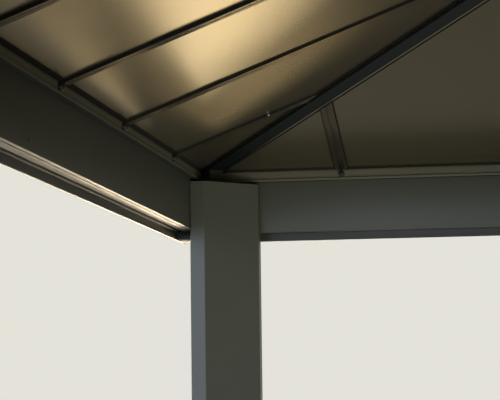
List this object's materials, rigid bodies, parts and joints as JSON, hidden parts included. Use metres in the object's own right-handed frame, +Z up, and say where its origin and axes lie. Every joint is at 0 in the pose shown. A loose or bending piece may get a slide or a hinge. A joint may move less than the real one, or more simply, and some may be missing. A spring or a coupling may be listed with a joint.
{
  "type": "metal garden gazebo",
  "caption": "Square open-sided garden gazebo with notched corner posts, beams with curtain tracks and a hipped sheet-metal roof.",
  "frame": {"origin": "on the floor under the centre of the gazebo", "axes": "+Z up, +Y towards the back side, +X towards the right side"},
  "size_m": [3.418, 3.418, 2.7726],
  "materials": {
    "frame_paint": "satin charcoal powder coat on aluminium extrusion",
    "track_metal": "satin charcoal powder coat with rubbed track edges",
    "hip_paint": "smooth dark powder coat",
    "block_plastic": "moulded black nylon",
    "roof_sheet": "satin bronze coil-coated steel sheet",
    "rib_sheet": "folded bronze coil-coated steel",
    "roof_trim_paint": "charcoal powder coat"
  },
  "bodies": {
    "root": {"beam_back": "frame_paint", "outer_rail_back": "track_metal", "eave_channel_back": "frame_paint", "edge_trim_back": "roof_trim_paint", "roof_panels_back": "roof_sheet", "roof_ribs_back": "rib_sheet", "seam_caps_back": "roof_trim_paint", "beam_left": "frame_paint", "outer_rail_left": "track_metal", "eave_channel_left": "frame_paint", "edge_trim_left": "roof_trim_paint", "roof_panels_left": "roof_sheet", "roof_ribs_left": "rib_sheet", "seam_caps_left": "roof_trim_paint", "beam_front": "frame_paint", "outer_rail_front": "track_metal", "eave_channel_front": "frame_paint", "edge_trim_front": "roof_trim_paint", "roof_panels_front": "roof_sheet", "roof_ribs_front": "rib_sheet", "seam_caps_front": "roof_trim_paint", "beam_right": "frame_paint", "outer_rail_right": "track_metal", "eave_channel_right": "frame_paint", "edge_trim_right": "roof_trim_paint", "roof_panels_right": "roof_sheet", "roof_ribs_right": "rib_sheet", "seam_caps_right": "roof_trim_paint", "post_back_left": "frame_paint", "base_plate_back_left": "frame_paint", "hip_rafter_back_left": "hip_paint", "post_front_left": "frame_paint", "base_plate_front_left": "frame_paint", "hip_rafter_front_left": "hip_paint", "post_front_right": "frame_paint", "base_plate_front_right": "frame_paint", "hip_rafter_front_right": "hip_paint", "post_back_right": "frame_paint", "base_plate_back_right": "frame_paint", "hip_rafter_back_right": "hip_paint", "corner_blocks": "block_plastic", "hip_saddles": "hip_paint", "hip_caps": "roof_trim_paint", "apex_hub": "hip_paint", "apex_cap": "roof_trim_paint"}
  },
  "joints": []
}
